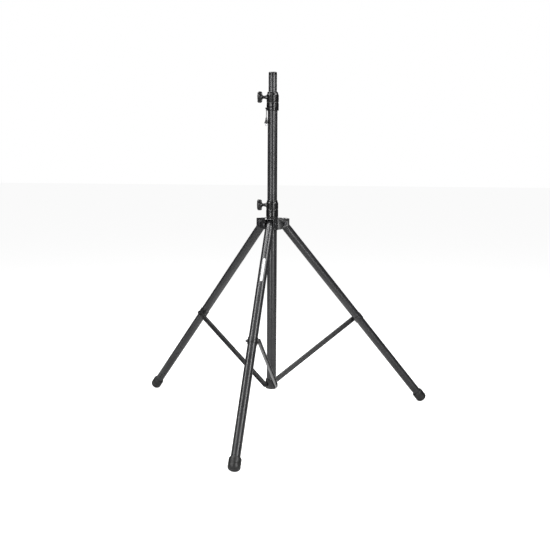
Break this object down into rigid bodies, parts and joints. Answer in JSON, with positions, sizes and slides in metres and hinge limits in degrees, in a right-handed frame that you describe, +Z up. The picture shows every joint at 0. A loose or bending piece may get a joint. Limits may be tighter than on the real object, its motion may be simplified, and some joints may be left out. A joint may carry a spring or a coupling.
{
  "type": "speaker tripod stand",
  "caption": "Folding tripod stand with a telescoping mast, clamping collars with star knobs, braced legs and rubber feet, which holds a loudspeaker on its pole.",
  "frame": {"origin": "centre of the hub's underside, on the mast's axis, 120 mm above the floor", "axes": "+Z up along the mast; the front leg points along -Y; +X is to the right seen from the front"},
  "size_m": [1.3164, 1.1461, 1.4615],
  "materials": {
    "painted_tube": "semi-gloss black powder coat",
    "painted_brace": "satin black powder coat",
    "painted_bracket": "satin black powder coat",
    "collar_plastic": "satin moulded black nylon",
    "knob_plastic": "fine-grained moulded black plastic",
    "nylon": "dark natural nylon",
    "rubber_foot": "matte black rubber",
    "black_zinc": "black zinc plate",
    "pin_steel": "bright zinc plate",
    "lanyard_vinyl": "black vinyl-coated cord"
  },
  "bodies": {
    "mast": {"main_tube": "painted_tube", "top_bushing": "nylon", "upper_collar": "collar_plastic", "upper_collar_screw": "black_zinc", "upper_clamp_pad": "nylon", "hub": "collar_plastic", "lanyard_anchor": "black_zinc", "front_hub_bolt": "black_zinc", "right_hub_bolt": "black_zinc", "left_hub_bolt": "black_zinc"},
    "pole": {"pole_tube": "painted_tube", "pole_cap": "collar_plastic", "pole_guide": "nylon"},
    "carriage": {"lower_collar": "collar_plastic", "lower_collar_screw": "black_zinc", "lower_clamp_pad": "nylon", "leg_bracket": "painted_bracket", "carriage_bushing": "nylon", "front_pivot_bolt": "black_zinc", "front_pivot_nut": "black_zinc", "right_pivot_bolt": "black_zinc", "right_pivot_nut": "black_zinc", "left_pivot_bolt": "black_zinc", "left_pivot_nut": "black_zinc"},
    "upper_knob_body": {"upper_knob": "knob_plastic", "upper_knob_stud": "black_zinc"},
    "lower_knob_body": {"lower_knob": "knob_plastic", "lower_knob_stud": "black_zinc"},
    "lock_pin": {"lock_pin_lanyard": "lanyard_vinyl", "lock_pin_grip": "collar_plastic", "lock_pin_tip": "pin_steel"},
    "front_leg_body": {"front_leg_tube": "painted_tube", "front_leg_plug": "collar_plastic", "front_leg_clamp": "painted_bracket", "front_clamp_bolt": "black_zinc", "front_clamp_nut": "black_zinc", "front_foot": "rubber_foot"},
    "front_brace_body": {"front_brace": "painted_brace", "front_brace_bolt": "black_zinc"},
    "right_leg_body": {"right_leg_tube": "painted_tube", "right_leg_plug": "collar_plastic", "right_leg_clamp": "painted_bracket", "right_clamp_bolt": "black_zinc", "right_clamp_nut": "black_zinc", "right_foot": "rubber_foot"},
    "right_brace_body": {"right_brace": "painted_brace", "right_brace_bolt": "black_zinc"},
    "left_leg_body": {"left_leg_tube": "painted_tube", "left_leg_plug": "collar_plastic", "left_leg_clamp": "painted_bracket", "left_clamp_bolt": "black_zinc", "left_clamp_nut": "black_zinc", "left_foot": "rubber_foot"},
    "left_brace_body": {"left_brace": "painted_brace", "left_brace_bolt": "black_zinc"}
  },
  "joints": [
    {"name": "pole_slide", "type": "slide", "parent": "mast", "child": "pole", "axis": [0, 0, 1], "range_m": [0, 0.9]},
    {"name": "carriage_slide", "type": "slide", "parent": "mast", "child": "carriage", "axis": [0, 0, 1], "range_m": [0, 0.3354]},
    {"name": "upper_knob_turn", "type": "hinge", "parent": "mast", "child": "upper_knob_body", "pos_m": [-0.0483, -0.01294, 1.2385], "axis": [-0.9659, -0.2588, 0], "range_deg": [0, 360]},
    {"name": "lower_knob_turn", "type": "hinge", "parent": "carriage", "child": "lower_knob_body", "pos_m": [-0.0483, -0.01294, 0.792], "axis": [-0.9659, -0.2588, 0], "range_deg": [0, 360]},
    {"name": "lock_pin_swing", "type": "hinge", "parent": "mast", "child": "lock_pin", "pos_m": [-0.02185, -0.02605, 1.192], "axis": [-0.6428, -0.766, 0], "range_deg": [-45, 45]},
    {"name": "front_leg_fold", "type": "hinge", "parent": "carriage", "child": "front_leg_body", "pos_m": [0, -0.0505, 0.7123], "axis": [1, 0, 0], "range_deg": [0, 40.08]},
    {"name": "front_brace_fold", "type": "hinge", "parent": "mast", "child": "front_brace_body", "pos_m": [0, -0.0149, 0.0173], "axis": [1, 0, 0], "range_deg": [-51.21, 0]},
    {"name": "right_leg_fold", "type": "hinge", "parent": "carriage", "child": "right_leg_body", "pos_m": [0.04373, 0.02525, 0.7123], "axis": [-0.5, 0.866, 0], "range_deg": [0, 40.08]},
    {"name": "right_brace_fold", "type": "hinge", "parent": "mast", "child": "right_brace_body", "pos_m": [0.0129, 0.00745, 0.0173], "axis": [-0.5, 0.866, 0], "range_deg": [-51.21, 0]},
    {"name": "left_leg_fold", "type": "hinge", "parent": "carriage", "child": "left_leg_body", "pos_m": [-0.04373, 0.02525, 0.7123], "axis": [-0.5, -0.866, 0], "range_deg": [0, 40.08]},
    {"name": "left_brace_fold", "type": "hinge", "parent": "mast", "child": "left_brace_body", "pos_m": [-0.0129, 0.00745, 0.0173], "axis": [-0.5, -0.866, 0], "range_deg": [-51.21, 0]}
  ],
  "couplings": [
    {"joint": "front_leg_fold", "follows": "carriage_slide", "rad_per_m": 2.0846},
    {"joint": "front_brace_fold", "follows": "carriage_slide", "rad_per_m": -2.6639},
    {"joint": "right_leg_fold", "follows": "carriage_slide", "rad_per_m": 2.0846},
    {"joint": "right_brace_fold", "follows": "carriage_slide", "rad_per_m": -2.6639},
    {"joint": "left_leg_fold", "follows": "carriage_slide", "rad_per_m": 2.0846},
    {"joint": "left_brace_fold", "follows": "carriage_slide", "rad_per_m": -2.6639}
  ]
}
